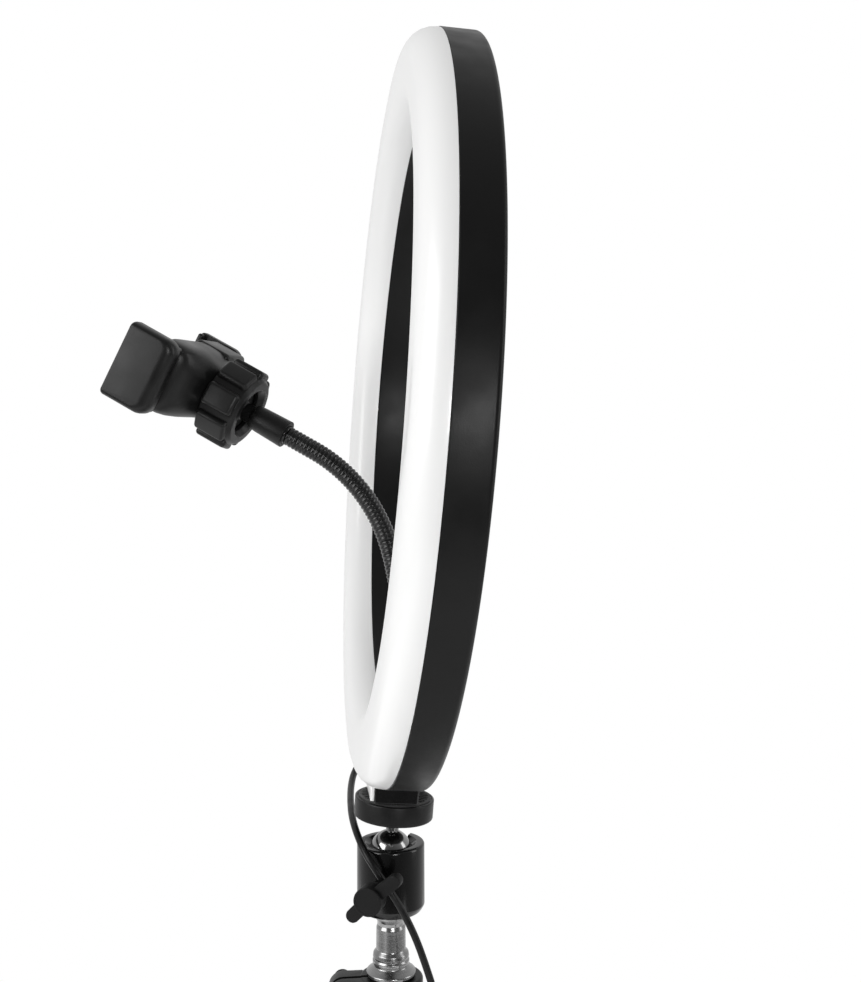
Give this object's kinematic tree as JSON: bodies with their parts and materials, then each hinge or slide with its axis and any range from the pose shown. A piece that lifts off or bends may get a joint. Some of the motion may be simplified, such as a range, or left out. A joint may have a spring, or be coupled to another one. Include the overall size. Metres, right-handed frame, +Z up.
{
  "type": "ring light on stand",
  "caption": "LED ring light with a phone holder on a gooseneck, on a ball head and a folding telescopic stand, with its lead and inline controller.",
  "frame": {"origin": "on the floor, at the middle of the stand's footprint with the legs open", "axes": "+Z up along the column, -Y the way the light faces, +X to the right seen from in front of the light"},
  "size_m": [0.563, 0.4904, 0.8011],
  "materials": {
    "black_powder_coat": "satin black powder coat",
    "black_plastic": "fine matte black moulding",
    "gloss_black": "gloss black moulding",
    "satin_black_metal": "satin black anodised",
    "opal": "opal white diffuser",
    "board_white": "white solder mask",
    "led": "phosphor yellow chips",
    "bright_steel": "turned bright steel",
    "chrome": "polished chrome",
    "zinc": "zinc plated",
    "rubber_black": "matte black rubber",
    "rubber_grey": "dark grey rubber",
    "cord_black": "smooth black PVC",
    "nylon": "natural nylon",
    "board_green": "green solder mask",
    "spring_steel": "plain spring steel"
  },
  "bodies": {
    "stand": {"main_tube": "black_powder_coat", "hub": "black_plastic", "collar_lower": "black_plastic", "light_cord": "cord_black", "controller_lead": "cord_black", "cord_coil": "cord_black", "plug_lead": "cord_black", "plug_grip": "gloss_black", "plug_shell": "bright_steel", "controller_case": "gloss_black", "controller_board": "board_green"},
    "slider": {"slider": "black_plastic"},
    "slider_knob": {"slider_knob": "black_plastic"},
    "collar_lower_knob": {"collar_lower_knob": "black_plastic"},
    "mid_column": {"mid_tube": "black_powder_coat", "mid_bush": "nylon", "collar_upper": "black_plastic"},
    "collar_upper_knob": {"collar_upper_knob": "black_plastic"},
    "top_column": {"top_tube": "black_powder_coat", "top_bush": "nylon", "spigot": "bright_steel", "head_body": "gloss_black"},
    "wing_knob": {"wing_knob": "black_plastic"},
    "ball_cup": {"ball_cup": "nylon"},
    "ball_stem": {"ball_stem": "chrome"},
    "disc": {"platform_disc": "satin_black_metal", "platform_pad": "rubber_grey"},
    "light": {"rear_housing": "black_plastic", "diffuser": "opal", "led_board": "board_white", "leds": "led", "housing_screws": "zinc", "mounting_foot": "black_plastic", "cord_grommet": "rubber_black", "gooseneck_base": "satin_black_metal"},
    "hose_lower": {"hose_lower": "satin_black_metal"},
    "hose_middle": {"hose_middle": "satin_black_metal"},
    "hose_upper": {"hose_upper": "satin_black_metal"},
    "holder_stud": {"ball_stud": "satin_black_metal"},
    "holder": {"friction_cup": "nylon", "holder_body": "black_plastic", "fixed_pad": "rubber_black", "jaw_spring": "spring_steel"},
    "lock_nut": {"lock_nut": "black_plastic"},
    "jaw": {"moving_jaw": "black_plastic", "moving_pad": "rubber_black"},
    "power_button": {"power_button": "rubber_grey"},
    "brightness_rocker": {"brightness_rocker": "rubber_grey"},
    "strut_1": {"strut_1": "black_powder_coat"},
    "leg_1": {"leg_1": "black_powder_coat", "leg_clip_1": "black_plastic", "foot_1": "rubber_black"},
    "strut_2": {"strut_2": "black_powder_coat"},
    "leg_2": {"leg_2": "black_powder_coat", "leg_clip_2": "black_plastic", "foot_2": "rubber_black"},
    "strut_3": {"strut_3": "black_powder_coat"},
    "leg_3": {"leg_3": "black_powder_coat", "leg_clip_3": "black_plastic", "foot_3": "rubber_black"}
  },
  "joints": [
    {"name": "legs_fold", "type": "slide", "parent": "stand", "child": "slider", "axis": [0, 0, 1], "range_m": [0, 0.1014]},
    {"name": "strut_1_swing", "type": "hinge", "parent": "stand", "child": "strut_1", "pos_m": [0, 0.06039, 0.03764], "axis": [-1, 0, 0], "range_deg": [-0.2, 57.7]},
    {"name": "leg_1_swing", "type": "hinge", "parent": "strut_1", "child": "leg_1", "pos_m": [0, -0.03992, 0.09978], "axis": [1, 0, 0], "range_deg": [-0.2, 119.8]},
    {"name": "strut_2_swing", "type": "hinge", "parent": "stand", "child": "strut_2", "pos_m": [0.01559, 0.08739, 0.03764], "axis": [0.5, -0.866, 0], "range_deg": [-0.2, 57.7]},
    {"name": "leg_2_swing", "type": "hinge", "parent": "strut_2", "child": "leg_2", "pos_m": [0.10246, 0.13755, 0.09978], "axis": [-0.5, 0.866, 0], "range_deg": [-0.2, 119.8]},
    {"name": "strut_3_swing", "type": "hinge", "parent": "stand", "child": "strut_3", "pos_m": [-0.01559, 0.08739, 0.03764], "axis": [0.5, 0.866, 0], "range_deg": [-0.2, 57.7]},
    {"name": "leg_3_swing", "type": "hinge", "parent": "strut_3", "child": "leg_3", "pos_m": [-0.10246, 0.13755, 0.09978], "axis": [-0.5, -0.866, 0], "range_deg": [-0.2, 119.8]},
    {"name": "slider_knob_turn", "type": "hinge", "parent": "slider", "child": "slider_knob", "pos_m": [0, 0.07839, 0.15923], "axis": [0.866, -0.5, 0], "continuous": true},
    {"name": "lower_collar_knob_turn", "type": "hinge", "parent": "stand", "child": "collar_lower_knob", "pos_m": [0, 0.06139, 0.42314], "axis": [-1, 0, 0], "continuous": true},
    {"name": "mid_tube_slide", "type": "slide", "parent": "stand", "child": "mid_column", "axis": [0, 0, 1], "range_m": [0, 0.33], "deforming": ["light_cord"]},
    {"name": "upper_collar_knob_turn", "type": "hinge", "parent": "mid_column", "child": "collar_upper_knob", "pos_m": [0, 0.06139, 0.45914], "axis": [-1, 0, 0], "continuous": true},
    {"name": "top_tube_slide", "type": "slide", "parent": "mid_column", "child": "top_column", "axis": [0, 0, 1], "range_m": [0, 0.33], "deforming": ["light_cord"]},
    {"name": "wing_knob_turn", "type": "hinge", "parent": "top_column", "child": "wing_knob", "pos_m": [0, 0.07839, 0.50294], "axis": [0.9063, -0.4226, 0], "continuous": true},
    {"name": "head_pan", "type": "hinge", "parent": "top_column", "child": "ball_cup", "pos_m": [0, 0.07839, 0.51344], "axis": [0, 0, 1], "continuous": true, "deforming": ["light_cord"]},
    {"name": "head_tilt", "type": "hinge", "parent": "ball_cup", "child": "ball_stem", "pos_m": [0, 0.07839, 0.51344], "axis": [1, 0, 0], "range_deg": [-30.8, 39.2], "deforming": ["light_cord"]},
    {"name": "disc_turn", "type": "hinge", "parent": "ball_stem", "child": "disc", "pos_m": [0, 0.07839, 0.51344], "axis": [0, 0.0736, 0.9973], "continuous": true},
    {"name": "light_spin", "type": "hinge", "parent": "ball_stem", "child": "light", "pos_m": [0, 0.07839, 0.51344], "axis": [0, 0.0736, 0.9973], "range_deg": [-180, 180], "deforming": ["light_cord"]},
    {"name": "gooseneck_swivel", "type": "hinge", "parent": "light", "child": "hose_lower", "pos_m": [0, 0.08195, 0.57805], "axis": [0, 0.0736, 0.9973], "range_deg": [-25, 65]},
    {"name": "gooseneck_lower_bend", "type": "hinge", "parent": "hose_lower", "child": "hose_middle", "pos_m": [-0.00237, 0.07871, 0.62274], "axis": [0.9397, -0.3411, 0.0252], "range_deg": [-25, 25]},
    {"name": "gooseneck_upper_bend", "type": "hinge", "parent": "hose_middle", "child": "hose_upper", "pos_m": [-0.0065, 0.06884, 0.64324], "axis": [0.9397, -0.3411, 0.0252], "range_deg": [-25, 25]},
    {"name": "holder_roll", "type": "hinge", "parent": "hose_upper", "child": "holder_stud", "pos_m": [-0.02388, 0.02327, 0.67435], "axis": [-0.3125, -0.8262, 0.4688], "range_deg": [-180, 180]},
    {"name": "holder_tilt", "type": "hinge", "parent": "holder_stud", "child": "holder", "pos_m": [-0.02388, 0.02327, 0.67435], "axis": [0.9397, -0.3411, 0.0252], "range_deg": [-18, 18]},
    {"name": "lock_nut_turn", "type": "hinge", "parent": "holder", "child": "lock_nut", "pos_m": [-0.02388, 0.02327, 0.67435], "axis": [-0.3125, -0.8262, 0.4688], "continuous": true},
    {"name": "jaw_open", "type": "slide", "parent": "holder", "child": "jaw", "axis": [0.9397, -0.3411, 0.0252], "range_m": [0, 0.034], "stiffness_N_per_m": 120, "springref_m": -0.03},
    {"name": "power_button_press", "type": "slide", "parent": "stand", "child": "power_button", "axis": [0, 0, -1], "range_m": [0, 0.0007], "stiffness_N_per_m": 600, "springref_m": -0.0008},
    {"name": "brightness_rock", "type": "hinge", "parent": "stand", "child": "brightness_rocker", "pos_m": [0.06525, 0.16977, 0.0086], "axis": [-0.4226, 0.9063, 0], "range_deg": [-4, 4], "stiffness_Nm_per_rad": 0.05}
  ],
  "couplings": [
    {"joint": "strut_1_swing", "follows": "legs_fold", "rad_per_m": 9.896},
    {"joint": "leg_1_swing", "follows": "legs_fold", "rad_per_m": 20.568},
    {"joint": "strut_2_swing", "follows": "legs_fold", "rad_per_m": 9.896},
    {"joint": "leg_2_swing", "follows": "legs_fold", "rad_per_m": 20.568},
    {"joint": "strut_3_swing", "follows": "legs_fold", "rad_per_m": 9.896},
    {"joint": "leg_3_swing", "follows": "legs_fold", "rad_per_m": 20.568}
  ]
}
